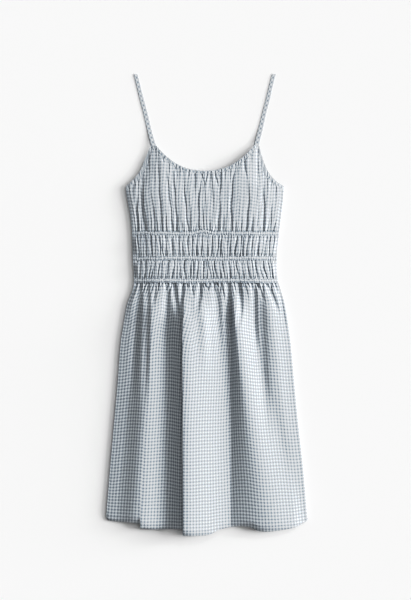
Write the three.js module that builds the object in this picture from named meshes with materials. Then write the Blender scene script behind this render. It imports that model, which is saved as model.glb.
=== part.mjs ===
// A sleeveless gingham dress lying on its back: straps towards +Y, hem towards -Y, the surface at Z = 0.
// Every panel is one layer of cloth. The front stands over the surface at a height that is worked out from
// the outline, the folds and the gathers. The back lies flat and curls up to meet it at the side seams.

import * as THREE from 'three';

// Driving dimensions, in millimetres
const CLOTH = 1.2;
const SEAM_GAP = 0.3;
const SEAM_HEIGHT = 5;
const BACK_CURL = 15;

// Casings: flat tubes of cloth with elastic inside, sewn between the panels
const WAIST_CASING = { width: 8.6, thickness: 2.2, proud: 0.5 };
const EDGE_CASING = { width: 5.6, thickness: 2, proud: 0.4, calm: 0.6 };
const CASING_LOW_Y = 46;
const CASING_MID_Y = 89;
const CASING_TOP_Y = 137.4;
const CASING_COLUMNS = 26;

// Neckline: a shallow scoop between the two points where the straps are sewn on
const NECK = { middle: -3, half: 95, low: 259, rise: 49, power: 2.4 };
const EAR_TOP = NECK.low + NECK.rise;
const MOST_SLANT_OF_EDGE = 2.8;

// Back
const BACK_TOP = 228.4;
const BACK_HEM_INSET = 4;
const BACK_COLUMNS = 24;

// Straps: flat tubes that go up over the shoulder, fold and run down beneath to the back
const STRAP = { baseWidth: 8.4, topWidth: 6.8, thickness: 1.2, top: 447, foldRadius: 0.95 };
const STRAP_LINES = { left: { base: -103.2, top: -138.2 }, right: { base: 96.4, top: 130.3 } };

// How a strap comes down from the bodice to lie flat: the distance past the bodice, and the part of the way
const STRAP_DESCENT = [
  { past: 0, down: 0 },
  { past: 12, down: 0.35 },
  { past: 28, down: 0.85 },
  { past: 45, down: 1 },
  { past: 90, down: 1 },
];
const STRAP_FOLD_STEPS = 6;

// Outline of the dress from the hem up, with its armholes. Lift is the height of the front between its folds,
// round is the distance over which it comes down at the sides, and edge is its height there.
const OUTLINE = [
  { y: -420, left: -195.5, right: 195.5, lift: 9, round: 26, edge: 5 },
  { y: -325, left: -188, right: 188, lift: 9, round: 28, edge: 5 },
  { y: -232, left: -180, right: 178, lift: 9.5, round: 30, edge: 5 },
  { y: -139, left: -172, right: 169, lift: 10, round: 32, edge: 5 },
  { y: -77, left: -167.5, right: 163.5, lift: 10.5, round: 34, edge: 5 },
  { y: -30, left: -160.5, right: 157, lift: 11, round: 36, edge: 5 },
  { y: 1, left: -154.5, right: 152, lift: 12, round: 40, edge: 5 },
  { y: 32, left: -143, right: 142, lift: 13, round: 45, edge: 5 },
  { y: 46, left: -141, right: 138, lift: 13, round: 48, edge: 5 },
  { y: 89, left: -143, right: 135.5, lift: 14, round: 50, edge: 5 },
  { y: 137, left: -144.5, right: 140, lift: 15, round: 55, edge: 5 },
  { y: 170, left: -147.5, right: 144, lift: 18, round: 65, edge: 5 },
  { y: 228.5, left: -156.5, right: 149.5, lift: 17, round: 60, edge: 5 },
  { y: 241, left: -143, right: 131.5, lift: 15, round: 50, edge: 4.4 },
  { y: 257, left: -130, right: 119, lift: 13, round: 42, edge: 4 },
  { y: 280, left: -120, right: 109, lift: 10, round: 34, edge: 3.7 },
  { y: 308, left: -108.5, right: 101, lift: 7, round: 28, edge: 3.5 },
];

// Hem of the front as it lies, from left to right. It steps where one fold lies over the next.
const HEM = [
  { x: -195.5, y: -412 },
  { x: -190, y: -418 },
  { x: -131, y: -424 },
  { x: -128, y: -432.5 },
  { x: -95, y: -435 },
  { x: -47, y: -434 },
  { x: -44, y: -445 },
  { x: -25, y: -447 },
  { x: 0, y: -446 },
  { x: 28, y: -435 },
  { x: 68, y: -428.5 },
  { x: 84, y: -431 },
  { x: 102, y: -438 },
  { x: 114, y: -439 },
  { x: 164, y: -433 },
  { x: 195.5, y: -419 },
];

// Ridges of the skirt's folds: where each runs from waist to hem, how far its sides run out at the waist and
// at the hem, how high it is, and the height up the dress where it starts and where it has died out. An end
// far below the hem leaves the fold open there.
const OPEN = -900;
const FOLDS = [
  { name: 'side', waist: -153, hem: -160, left: 10, right: 12, spread: 1, height: 2.5, start: 30, end: -70 },
  { name: 'left', waist: -108, hem: -127, left: 34, right: 30, spread: 1, height: 10, start: 30, end: OPEN },
  { name: 'centre', waist: -44, hem: -41, left: 34, right: 62, spread: 1, height: 20, start: 36, end: OPEN },
  { name: 'middle', waist: -5, hem: 2, left: 16, right: 16, spread: 1, height: 4, start: 30, end: -150 },
  { name: 'small', waist: 30, hem: 34, left: 12, right: 10, spread: 1, height: 3.5, start: 30, end: -150 },
  { name: 'narrow', waist: 50, hem: 54, left: 8, right: 8, spread: 1, height: 3, start: 34, end: -50 },
  { name: 'right', waist: 70, hem: 108, left: 22, right: 40, spread: 2, height: 13, start: 34, end: OPEN },
  { name: 'far', waist: 112, hem: 142, left: 26, right: 30, spread: 1, height: 7, start: 34, end: -330 },
];
const FOLD_GROWTH = 70;

// Creases of the bodice that go deeper than its gathers, at the casing and at the neckline
const CREASES = [
  { name: 'outer left', casing: -98, neck: -93, width: 9, depth: 3 },
  { name: 'left', casing: -58, neck: -63, width: 10, depth: 4 },
  { name: 'inner left', casing: -37, neck: -38, width: 8, depth: 3 },
  { name: 'middle', casing: -14, neck: -16, width: 8, depth: 3 },
  { name: 'inner right', casing: 22, neck: 30, width: 8, depth: 2 },
  { name: 'right', casing: 49, neck: 54, width: 11, depth: 4.5 },
  { name: 'outer right', casing: 96, neck: 97, width: 9, depth: 3.5 },
];

// Gathers of each gathered piece: how many, how uneven, and half the height from trough to crest at the
// middle of the piece and at the edges that are sewn down
const GATHERS = {
  skirt: { count: 40, uneven: 0.3, sewn: 1 },
  lowerBand: { count: 38, uneven: 0.28, middle: 1.4, sewn: 0.9 },
  upperBand: { count: 36, uneven: 0.3, middle: 1.6, sewn: 0.9 },
  bodice: { count: 30, uneven: 0.35, middle: 1.3, sewn: 1.3 },
};
const SIDE_FADE = 9;
const BAND_PUFF = 2;
const BAND_SLANT = 2.2;
const BAND_LEANS = 9;
const SKIRT_GATHERS_END = 10;
const HEM_BEND_START = 50;

// How finely the sheets are divided
const SKIRT_COLUMNS = 52;
const SKIRT_ROWS = 11;
const SKIRT_GATHERED_ROWS = [41.1, 30];
const SKIRT_BACK_STEPS = 8;
const BODICE_ROWS = 6;
const BODICE_BACK_STEPS = 3;

const { clamp, lerp, smoothstep } = THREE.MathUtils;

// A smooth curve through two named columns of a table, which never swings past its rows
function curve(table, from, to) {
  const inputs = table.map((row) => row[from]);
  const outputs = table.map((row) => row[to]);
  const slopes = inputs.slice(1).map((input, i) => (outputs[i + 1] - outputs[i]) / (input - inputs[i]));
  const tangents = inputs.map((_, i) => {
    if (i === 0) return slopes[0];
    if (i === inputs.length - 1) return slopes[i - 1];
    const product = slopes[i - 1] * slopes[i];
    return product > 0 ? (2 * product) / (slopes[i - 1] + slopes[i]) : 0;
  });
  return (value) => {
    const input = clamp(value, inputs[0], inputs.at(-1));
    const next = inputs.findIndex((entry, i) => i > 0 && input <= entry);
    const step = inputs[next] - inputs[next - 1];
    const t = (input - inputs[next - 1]) / step;
    const bend0 = tangents[next - 1] * step;
    const bend1 = tangents[next] * step;
    const rise = outputs[next] - outputs[next - 1];
    const square = 3 * rise - 2 * bend0 - bend1;
    const cube = bend0 + bend1 - 2 * rise;
    return outputs[next - 1] + t * (bend0 + t * (square + t * cube));
  };
}

const leftEdge = curve(OUTLINE, 'y', 'left');
const rightEdge = curve(OUTLINE, 'y', 'right');
const lift = curve(OUTLINE, 'y', 'lift');
const roundness = curve(OUTLINE, 'y', 'round');
const edgeHeight = curve(OUTLINE, 'y', 'edge');
const hemEdge = curve(HEM, 'x', 'y');

// The armholes, read from the same outline as a height over x
const armholes = OUTLINE.filter((row) => row.y > BACK_TOP);
const leftArmhole = curve(armholes, 'left', 'y');
const rightArmhole = curve([...armholes].reverse(), 'right', 'y');

const quarterRound = (t) => Math.sqrt(1 - (1 - clamp(t, 0, 1)) ** 2);
const across = (u, y) => lerp(leftEdge(y), rightEdge(y), u);
const inset = (x, y) => Math.min(x - leftEdge(y), rightEdge(y) - x);

// Gathers and creases grow from nothing at the side seams
const sideFade = (x, y) => smoothstep(inset(x, y), 0, SIDE_FADE);

// Height of the front over the surface, before folds and gathers
function frontHeight(x, y) {
  const edge = edgeHeight(y);
  return edge + SEAM_GAP / 2 + (lift(y) - edge) * quarterRound(inset(x, y) / roundness(y));
}

// Height of the underside of the back: flat, and curled up at the side seams
function backHeight(x, y) {
  return (SEAM_HEIGHT - SEAM_GAP / 2) * (1 - quarterRound(inset(x, y) / BACK_CURL));
}

// One rounded slope, from 1 at its top to 0 at the end of its run
const slope = (t) => 0.5 + 0.5 * Math.cos(Math.PI * clamp(t, 0, 1));

function skirtFolds(x, y) {
  const down = clamp((CASING_LOW_Y - y) / (CASING_LOW_Y - HEM[0].y), 0, 1);
  const total = FOLDS.reduce((sum, fold) => {
    const offset = x - lerp(fold.waist, fold.hem, down);
    const run = (offset < 0 ? fold.left : fold.right) * lerp(1, fold.spread, down);
    const grown = smoothstep(fold.start - y, 0, FOLD_GROWTH);
    const left = smoothstep(y, fold.end, fold.end + FOLD_GROWTH * 2);
    return sum + fold.height * grown * left * slope(Math.abs(offset) / run);
  }, 0);
  return total * quarterRound(inset(x, y) / roundness(y));
}

function bodiceCreases(x, y) {
  const up = clamp((y - CASING_TOP_Y) / (EAR_TOP - CASING_TOP_Y), 0, 1);
  return CREASES.reduce((sum, crease) => {
    const offset = x - lerp(crease.casing, crease.neck, up);
    return sum + crease.depth * slope(Math.abs(offset) / crease.width);
  }, 0);
}

// Where the flat top of a gather and the flat bottom beside it lie, as parts of its width
const CREST = [0.14, 0.4];
const TROUGH = [0.64, 0.9];

// Columns across a gathered piece. Each gather is a crest and a trough of two columns each, with its own
// width and depth, so that its cloth lies in flat-topped waves.
function gatherColumns({ count, uneven }) {
  const gathers = Array.from({ length: count }, (_, i) => ({
    width: 1 + uneven * Math.sin(2.4 * i + 1) * Math.cos(0.7 * i),
    depth: 0.85 + 0.15 * Math.cos(3.7 * i),
  }));
  const whole = gathers.reduce((sum, gather) => sum + gather.width, 0);
  const columns = [{ u: 0, wave: 0 }];
  let start = 0;
  for (const { width, depth } of gathers) {
    for (const place of CREST) columns.push({ u: (start + place * width) / whole, wave: depth });
    for (const place of TROUGH) columns.push({ u: (start + place * width) / whole, wave: -depth });
    start += width;
  }
  columns.push({ u: 1, wave: 0 });
  return columns;
}

function plainColumns(count) {
  return Array.from({ length: count }, (_, i) => ({ u: i / (count - 1), wave: 0 }));
}

// The other face of a sheet: each point moved through the cloth, square to its row. The ends of a row are
// moved level, so that two pieces meet face to face at a side seam.
function otherFace(rows, thickness, up) {
  return rows.map((row) => row.map((point, i) => {
    if (i === 0) return { ...point, x: point.x + thickness };
    if (i === row.length - 1) return { ...point, x: point.x - thickness };
    const before = new THREE.Vector2(point.x - row[i - 1].x, point.z - row[i - 1].z).normalize();
    const after = new THREE.Vector2(row[i + 1].x - point.x, row[i + 1].z - point.z).normalize();
    const along = before.clone().add(after).normalize();
    const reach = (up * thickness) / Math.max(along.dot(before), 0.75);
    return { ...point, x: point.x - along.y * reach, z: point.z + along.x * reach };
  }));
}

// A closed wall between an upper and a lower sheet. Rows run from low to high y and columns from low to high
// x. Rows may have different numbers of columns: a strip between two rows is closed by their place u.
function wall(upper, lower) {
  const positions = [];
  const triangles = [];
  const number = (rows) => rows.map((row) => row.map((point) => {
    positions.push(point.x, point.y, point.z);
    return { u: point.u, id: positions.length / 3 - 1 };
  }));
  const face = (a, b, c, flip) => triangles.push(a.id, flip ? c.id : b.id, flip ? b.id : c.id);
  const strip = (near, far, flip) => {
    let i = 0;
    let j = 0;
    while (i < near.length - 1 || j < far.length - 1) {
      const nearNext = i < near.length - 1 ? near[i].u + near[i + 1].u : Infinity;
      const farNext = j < far.length - 1 ? far[j].u + far[j + 1].u : Infinity;
      if (nearNext <= farNext) {
        face(near[i], near[i + 1], far[j], flip);
        i += 1;
      } else {
        face(near[i], far[j + 1], far[j], flip);
        j += 1;
      }
    }
  };
  const top = number(upper);
  const bottom = number(lower);
  for (let r = 0; r < top.length - 1; r += 1) {
    strip(top[r], top[r + 1], false);
    strip(bottom[r], bottom[r + 1], true);
  }
  strip(bottom[0], top[0], false);
  strip(bottom.at(-1), top.at(-1), true);
  const withPlace = (point, r) => ({ id: point.id, u: r });
  const side = (rows, column) => rows.map((row, r) => withPlace(row.at(column), r));
  strip(side(bottom, 0), side(top, 0), true);
  strip(side(bottom, -1), side(top, -1), false);
  const geometry = new THREE.BufferGeometry();
  geometry.setAttribute('position', new THREE.Float32BufferAttribute(positions, 3));
  geometry.setIndex(triangles);
  geometry.computeVertexNormals();
  return geometry;
}

const frontWall = (rows, thickness) => wall(rows, otherFace(rows, thickness, -1));
const backWall = (rows, thickness) => wall(otherFace(rows, thickness, 1), rows);

const group = new THREE.Group();
const CLOTH_COLOUR = 0xccd3d8;
const CASING_COLOUR = 0xc2cad1;

function add(name, geometry, color = CLOTH_COLOUR) {
  const material = new THREE.MeshStandardMaterial({ color, roughness: 0.9, metalness: 0 });
  const mesh = new THREE.Mesh(geometry, material);
  mesh.name = name;
  group.add(mesh);
}

// How far the cloth at a height y hangs below that height, so that its rows bend into the hem's line
function hemDrop(u, y) {
  const hem = hemEdge(across(u, OUTLINE[0].y)) - OUTLINE[0].y;
  return hem * smoothstep(CASING_LOW_Y - y, HEM_BEND_START, CASING_LOW_Y - OUTLINE[0].y);
}

// Skirt front: folds all the way down, and gathers that die out below the casing
function skirtFront() {
  const gathered = gatherColumns(GATHERS.skirt);
  const plain = plainColumns(SKIRT_COLUMNS);
  const top = SKIRT_GATHERED_ROWS[0];
  const row = (columns, y) => columns.map(({ u, wave }) => {
    const x = across(u, y);
    const drop = hemDrop(u, y);
    const height = lerp(GATHERS.skirt.sewn, 0, smoothstep(top - y, 0, top - SKIRT_GATHERS_END));
    const z = frontHeight(x, y) + skirtFolds(x, y) + wave * height * sideFade(x, y);
    return { u, x, y: y + drop, z };
  });
  const rows = [];
  for (let r = 0; r < SKIRT_ROWS; r += 1) {
    rows.push(row(plain, lerp(OUTLINE[0].y, SKIRT_GATHERED_ROWS.at(-1), r / SKIRT_ROWS)));
  }
  for (const y of [...SKIRT_GATHERED_ROWS].reverse()) rows.push(row(gathered, y));
  return frontWall(rows, CLOTH);
}

// Waist band: gathered at both edges and puffed up between them. Its gathers lean this way and that.
function bandFront(settings, low, high, lean) {
  const columns = gatherColumns(settings);
  const rows = [0, 0.5, 1].map((v) => columns.map(({ u, wave }) => {
    const y = lerp(low, high, v);
    const away = Math.sin(Math.PI * v);
    const fade = sideFade(across(u, y), y);
    const x = across(u, y) + BAND_SLANT * Math.sin(lean + BAND_LEANS * u) * (v - 0.5) * fade;
    const height = lerp(settings.sewn, settings.middle, away);
    return { u, x, y, z: frontHeight(x, y) + (BAND_PUFF * away + wave * height) * fade };
  }));
  return frontWall(rows, CLOTH);
}

// Waist casing, front: a plain flat band on the rounded form
function casingFront(middle) {
  const columns = plainColumns(CASING_COLUMNS);
  const half = WAIST_CASING.width / 2;
  const rows = [-1, 0, 1].map((v) => columns.map(({ u }) => {
    const y = middle + v * half;
    const x = across(u, y);
    const crown = WAIST_CASING.proud * (2 - Math.abs(v));
    return { u, x, y, z: frontHeight(x, y) + crown * sideFade(x, y) };
  }));
  return frontWall(rows, WAIST_CASING.thickness);
}

// Top edge of the front: up one armhole, round the neckline and down the other armhole
function topEdge(x) {
  const rise = NECK.rise * Math.abs((x - NECK.middle) / NECK.half) ** NECK.power;
  return Math.min(leftArmhole(x), rightArmhole(x), NECK.low + rise, EAR_TOP);
}

function edgeSlant(x) {
  const reach = 2;
  return Math.min(Math.abs(topEdge(x + reach) - topEdge(x - reach)) / (2 * reach), MOST_SLANT_OF_EDGE);
}

// How far a strip of a given width along the top edge reaches below it, measured along y
const edgeDepth = (x, width) => width * Math.hypot(1, edgeSlant(x));

// A point of the bodice on column u, given as a part v of the way up between two heights
function bodicePoint(u, low, high, v, extra) {
  const x0 = across(u, BACK_TOP);
  const y = lerp(low(x0), high(x0), v);
  const x = y < BACK_TOP ? across(u, y) : x0;
  return { u, x, y, z: frontHeight(x, y) + (extra - bodiceCreases(x, y)) * sideFade(x, y) };
}

const bodiceBottom = CASING_TOP_Y + WAIST_CASING.width / 2 + SEAM_GAP;
const bodiceTop = (x) => topEdge(x) - edgeDepth(x, EDGE_CASING.width + SEAM_GAP);

// Places across the bodice, as parts of its width at the armpits: each ear is where a strap is sewn on
const placeOf = (x) => (x - leftEdge(BACK_TOP)) / (rightEdge(BACK_TOP) - leftEdge(BACK_TOP));
const earGap = placeOf(SEAM_GAP) - placeOf(0);
const leftEar = placeOf(NECK.middle - NECK.half - STRAP.baseWidth / 2);
const rightEar = placeOf(NECK.middle + NECK.half + STRAP.baseWidth / 2);
const ears = [leftEar - earGap / 2, leftEar + earGap / 2, rightEar - earGap / 2, rightEar + earGap / 2];
const nearEar = ({ u }) => ears.some((ear) => Math.abs(ear - u) < 3 * earGap);
const bodiceColumns = [
  ...gatherColumns(GATHERS.bodice).filter((column) => !nearEar(column)),
  ...ears.map((u) => ({ u, wave: 0 })),
].sort((a, b) => a.u - b.u);

function bodiceFront() {
  const { sewn, middle } = GATHERS.bodice;
  const rows = Array.from({ length: BODICE_ROWS }, (_, r) => bodiceColumns.map(({ u, wave }) => {
    const v = r / (BODICE_ROWS - 1);
    const calm = EDGE_CASING.calm / (1 + edgeSlant(across(u, BACK_TOP)) ** 2);
    const height = lerp(sewn, middle, Math.sin(Math.PI * v)) * lerp(1, calm, v ** 2);
    return bodicePoint(u, () => bodiceBottom, bodiceTop, v, wave * height);
  }));
  return frontWall(rows, CLOTH);
}

// A casing along part of the top edge, on the bodice's own columns from one place across it to another
function edgeCasing(from, to) {
  const columns = bodiceColumns.filter(({ u }) => u >= from && u <= to);
  const bottom = (x) => topEdge(x) - edgeDepth(x, EDGE_CASING.width);
  const rows = [0, 1].map((v) => columns.map(({ u, wave }) => {
    const calm = EDGE_CASING.calm / (1 + edgeSlant(across(u, BACK_TOP)) ** 2);
    return bodicePoint(u, bottom, topEdge, v, EDGE_CASING.proud + wave * calm);
  }));
  return frontWall(rows, EDGE_CASING.thickness);
}

// A back panel between two heights. On the skirt its rows bend with the hem.
function back(low, high, steps, thickness = CLOTH, drop = () => 0) {
  const columns = plainColumns(BACK_COLUMNS);
  const rows = Array.from({ length: steps + 1 }, (_, r) => columns.map(({ u }) => {
    const y = lerp(low, high, r / steps);
    const x = across(u, y);
    return { u, x, y: y + drop(u, y), z: backHeight(x, y) };
  }));
  return backWall(rows, thickness);
}

// A strap along its line: over the front, round the fold at the top, and back beneath
function strap({ base, top }) {
  const alongLine = (y) => (y - EAR_TOP) / (STRAP.top - EAR_TOP);
  const reach = STRAP.top - STRAP.foldRadius - STRAP.thickness / 2;
  const lower = STRAP.thickness / 2;
  const upper = lower + 2 * STRAP.foldRadius;
  const ear = frontHeight(base, EAR_TOP) + EDGE_CASING.proud - EDGE_CASING.thickness / 2;
  const start = EAR_TOP + SEAM_GAP;
  const route = STRAP_DESCENT.map(({ past, down }) => ({ y: start + past, z: lerp(ear, upper, down) }));
  for (let i = 0; i <= STRAP_FOLD_STEPS; i += 1) {
    const angle = (Math.PI * i) / STRAP_FOLD_STEPS;
    route.push({
      y: reach + STRAP.foldRadius * Math.sin(angle),
      z: lower + STRAP.foldRadius * (1 + Math.cos(angle)),
    });
  }
  route.push({ y: BACK_TOP + SEAM_GAP, z: lower });

  const positions = [];
  const triangles = [];
  route.forEach((point, i) => {
    const before = route[Math.max(i - 1, 0)];
    const after = route[Math.min(i + 1, route.length - 1)];
    const along = new THREE.Vector2(after.y - before.y, after.z - before.z).normalize();
    const half = lerp(STRAP.baseWidth, STRAP.topWidth, clamp(alongLine(point.y), 0, 1)) / 2;
    const x = lerp(base, top, alongLine(point.y));
    for (const [side, face] of [[-1, -1], [1, -1], [1, 1], [-1, 1]]) {
      const offset = (face * STRAP.thickness) / 2;
      positions.push(x + side * half, point.y - along.y * offset, point.z + along.x * offset);
    }
    if (i === 0) return;
    const near = 4 * (i - 1);
    const far = 4 * i;
    for (let k = 0; k < 4; k += 1) {
      const next = (k + 1) % 4;
      triangles.push(near + k, far + next, near + next, near + k, far + k, far + next);
    }
  });
  const last = 4 * (route.length - 1);
  triangles.push(0, 1, 2, 0, 2, 3);
  triangles.push(last, last + 2, last + 1, last, last + 3, last + 2);
  const geometry = new THREE.BufferGeometry();
  geometry.setAttribute('position', new THREE.Float32BufferAttribute(positions, 3));
  geometry.setIndex(triangles);
  geometry.computeVertexNormals();
  return geometry;
}

const casingEdge = WAIST_CASING.width / 2 + SEAM_GAP;
const skirtTop = CASING_LOW_Y - casingEdge;

add('skirt_front', skirtFront());
add('skirt_back', back(OUTLINE[0].y + BACK_HEM_INSET, skirtTop, SKIRT_BACK_STEPS, CLOTH, hemDrop));

const BANDS = [
  { name: 'lower', low: CASING_LOW_Y, high: CASING_MID_Y, settings: GATHERS.lowerBand, lean: 2 },
  { name: 'upper', low: CASING_MID_Y, high: CASING_TOP_Y, settings: GATHERS.upperBand, lean: 5 },
];
for (const { name, low, high, settings, lean } of BANDS) {
  add(`waist_${name}_front`, bandFront(settings, low + casingEdge, high - casingEdge, lean));
  add(`waist_${name}_back`, back(low + casingEdge, high - casingEdge, 1));
}

for (const [name, y] of [['low', CASING_LOW_Y], ['mid', CASING_MID_Y], ['top', CASING_TOP_Y]]) {
  const half = WAIST_CASING.width / 2;
  add(`casing_${name}_front`, casingFront(y), CASING_COLOUR);
  add(`casing_${name}_back`, back(y - half, y + half, 1, WAIST_CASING.thickness), CASING_COLOUR);
}

const backEdge = BACK_TOP - EDGE_CASING.width;
add('bodice_front', bodiceFront());
add('bodice_back', back(bodiceBottom, backEdge - SEAM_GAP, BODICE_BACK_STEPS));
add('back_edge_casing', back(backEdge, BACK_TOP, 1, EDGE_CASING.thickness), CASING_COLOUR);
add('neck_casing', edgeCasing(ears[1], ears[2]), CASING_COLOUR);
add('armhole_casing_left', edgeCasing(0, ears[0]), CASING_COLOUR);
add('armhole_casing_right', edgeCasing(ears[3], 1), CASING_COLOUR);

add('strap_left', strap(STRAP_LINES.left));
add('strap_right', strap(STRAP_LINES.right));

export default group;
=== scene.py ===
# %% [markdown]
# A gingham sun dress, laid on its back and seen from straight above. On the real dress every panel is one
# layer of thin checked cotton, drawn up on elastic round the waist and along the neckline. Here each panel
# is a thin shell of its own, made from the same few tables as the rigid part, with finer gathers and folds.
# Blender's cloth simulation could drape it, but the folds of a laid dress are where somebody's hands left
# them, so they are placed one by one instead.

# %% Load the frame
import math
from functools import partial

import bpy
import numpy as np
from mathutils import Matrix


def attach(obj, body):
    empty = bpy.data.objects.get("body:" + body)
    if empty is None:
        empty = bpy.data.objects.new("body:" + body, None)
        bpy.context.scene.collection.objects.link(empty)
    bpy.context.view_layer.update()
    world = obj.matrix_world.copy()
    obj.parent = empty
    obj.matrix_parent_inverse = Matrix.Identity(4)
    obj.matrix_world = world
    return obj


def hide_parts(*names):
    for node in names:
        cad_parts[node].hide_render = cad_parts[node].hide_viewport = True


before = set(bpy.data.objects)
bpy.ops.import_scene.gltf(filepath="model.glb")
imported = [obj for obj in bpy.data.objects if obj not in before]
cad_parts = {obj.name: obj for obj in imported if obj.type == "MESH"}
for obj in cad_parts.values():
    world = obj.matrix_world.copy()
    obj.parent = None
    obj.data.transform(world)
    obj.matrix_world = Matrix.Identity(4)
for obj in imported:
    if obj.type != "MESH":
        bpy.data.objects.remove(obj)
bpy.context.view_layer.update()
MM = 0.001
BODY = "root"


def table(columns, *rows):
    """A table with named columns, as one dict for each row."""
    return [dict(zip(columns.split(), row, strict=True)) for row in rows]


# %% [markdown]
# The camera looks straight down with the straps at the top of the picture. It stands far off with a long
# lens, as a camera over a packing table does, so the folds that stand up hardly lean outwards.

# %% Camera
PICTURE_HEIGHT = 600
MM_PER_PIXEL = 1.94
CAMERA_HEIGHT = 3.4
PICTURE_CENTRE = (-2.4 * MM, 8.6 * MM)

camera_data = bpy.data.cameras.new("camera")
camera_data.sensor_fit = "VERTICAL"
camera_data.sensor_height = 24
camera_data.lens = camera_data.sensor_height * CAMERA_HEIGHT / (PICTURE_HEIGHT * MM_PER_PIXEL * MM)
camera_data.clip_end = 50
camera = bpy.data.objects.new("camera", camera_data)
camera.location = (*PICTURE_CENTRE, CAMERA_HEIGHT)
bpy.context.collection.objects.link(camera)
bpy.context.scene.camera = camera
print("lens", round(camera_data.lens, 1), "mm")

# %% [markdown]
# Every finish and every row of stitches below is a small tree of nodes. A few helpers add a node and join
# it up in one line, so that each tree reads from its first step to its last.

# %% Helpers for node trees


def feed(tree, target, inputs):
    """Give each named input of a node its value, or join it to another node's output."""
    for key, value in inputs.items():
        if isinstance(value, bpy.types.NodeSocket):
            tree.links.new(value, target.inputs[key])
        else:
            target.inputs[key].default_value = value
    return target


def add_node(tree, kind, inputs, **settings):
    made = tree.nodes.new(kind)
    for name, value in settings.items():
        setattr(made, name, value)
    return feed(tree, made, inputs)


def math_node(tree, operation, *values, clamp=False):
    inputs = dict(enumerate(values))
    return add_node(tree, "ShaderNodeMath", inputs, operation=operation, use_clamp=clamp).outputs[0]


def mix_colour(tree, factor, first, second):
    inputs = {0: factor, 6: first, 7: second}
    return add_node(tree, "ShaderNodeMix", inputs, data_type="RGBA").outputs[2]


def noise(tree, vector, scale, detail=2.0):
    inputs = {"Vector": vector, "Scale": scale, "Detail": detail}
    return add_node(tree, "ShaderNodeTexNoise", inputs).outputs["Fac"]


def new_group(name, kind, inputs, outputs):
    """An empty node group with the given sockets, and its own entry and exit."""
    tree = bpy.data.node_groups.new(name, kind)
    for socket_name, kind, value in inputs:
        socket = tree.interface.new_socket(socket_name, in_out="INPUT", socket_type="NodeSocket" + kind)
        if value is not None:
            socket.default_value = value
    for socket_name, kind in outputs:
        tree.interface.new_socket(socket_name, in_out="OUTPUT", socket_type="NodeSocket" + kind)
    return tree, tree.nodes.new("NodeGroupInput").outputs, tree.nodes.new("NodeGroupOutput").inputs


def new_material(name, look):
    material = bpy.data.materials.new(name)
    material.use_nodes = True
    feed(material.node_tree, material.node_tree.nodes["Principled BSDF"], look)
    return material


# %% [markdown]
# Three soft lights come from the right of the picture. The first rakes the cloth, so each fold's left side
# falls dark and the edges throw a shadow to the left. The broad, high one softens that. The lowest adds the
# wide, faint shadow beside the dress. Area lamps would do too, but they light a floor unevenly. A camera
# rolls off its highlights, so white cloth in full light keeps its checks, which a tone curve does here.

# %% Floor and light
FLOOR_SIZE = 12
FLOOR_DROP = 0.2 * MM
FLOOR_COLOUR = (0.97, 0.97, 0.968, 1)
LIGHTS = table(
    "name azimuth height spread strength",
    ("raking", 8, 24, 22, 3.1),
    ("broad", 38, 54, 60, 1.0),
    ("lowest", 10, 10, 28, 3.1),
)
SURROUND = 0.185
TONE_CURVE = table(
    "light shown",
    (0.0, 0.0),
    (0.1, 0.065),
    (0.26, 0.235),
    (0.42, 0.468),
    (0.6, 0.645),
    (0.8, 0.765),
    (0.9, 0.832),
    (0.98, 0.94),
    (1.2, 1.0),
)

view = bpy.context.scene.view_settings
view.view_transform = "Standard"
view.use_curve_mapping = True
view.curve_mapping.clip_max_x = 1.5
tone = view.curve_mapping.curves[3]
tone.points[-1].location = (TONE_CURVE[-1]["light"], TONE_CURVE[-1]["shown"])
for row in TONE_CURVE[1:-1]:
    tone.points.new(row["light"], row["shown"])
view.curve_mapping.update()

world = bpy.data.worlds.new("surround")
world.use_nodes = True
feed(world.node_tree, world.node_tree.nodes["Background"], {"Color": (1, 1, 1, 1), "Strength": SURROUND})
bpy.context.scene.world = world

for row in LIGHTS:
    light_data = bpy.data.lights.new(row["name"], "SUN")
    light_data.angle = math.radians(row["spread"])
    light_data.energy = row["strength"]
    light = bpy.data.objects.new(row["name"], light_data)
    azimuth = math.radians(row["azimuth"])
    height = math.radians(row["height"])
    flat_part = math.cos(height)
    light.location = (flat_part * math.cos(azimuth), flat_part * math.sin(azimuth), math.sin(height))
    light.rotation_euler = light.location.to_track_quat("Z", "Y").to_euler()
    bpy.context.collection.objects.link(light)

floor_mesh = bpy.data.meshes.new("floor")
half_floor = FLOOR_SIZE / 2
floor_mesh.from_pydata(
    [(x * half_floor, y * half_floor, -FLOOR_DROP) for x, y in ((-1, -1), (1, -1), (1, 1), (-1, 1))],
    [],
    [(0, 1, 2, 3)],
)
floor = bpy.data.objects.new("floor", floor_mesh)
bpy.context.collection.objects.link(floor)
paper_look = {"Base Color": FLOOR_COLOUR, "Roughness": 0.9, "Specular IOR Level": 0.1}
floor_mesh.materials.append(new_material("white paper", paper_look))
print("lights at", [row["height"] for row in LIGHTS], "degrees")

# %% [markdown]
# Woven gingham has coloured and white stripes of thread both ways. The group works this out thread by
# thread from the cloth's own coordinates, so the pattern follows every fold. It could be an image, but
# then close views would blur.

# %% The woven check, as a shader group
CHECK = 6.35 * MM
THREADS_PER_CHECK = 16
WHITE_THREAD = (0.65, 0.686, 0.717, 1)
COLOURED_THREAD = (0.218, 0.252, 0.289, 1)
THREAD_DRIFT = 0.9 * MM
DRIFTS_PER_METRE = 45
STREAK = 0.14
STREAKS_PER_METRE = 60
STREAK_LENGTH = 20
STRIPE_KEENNESS = 40


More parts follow.
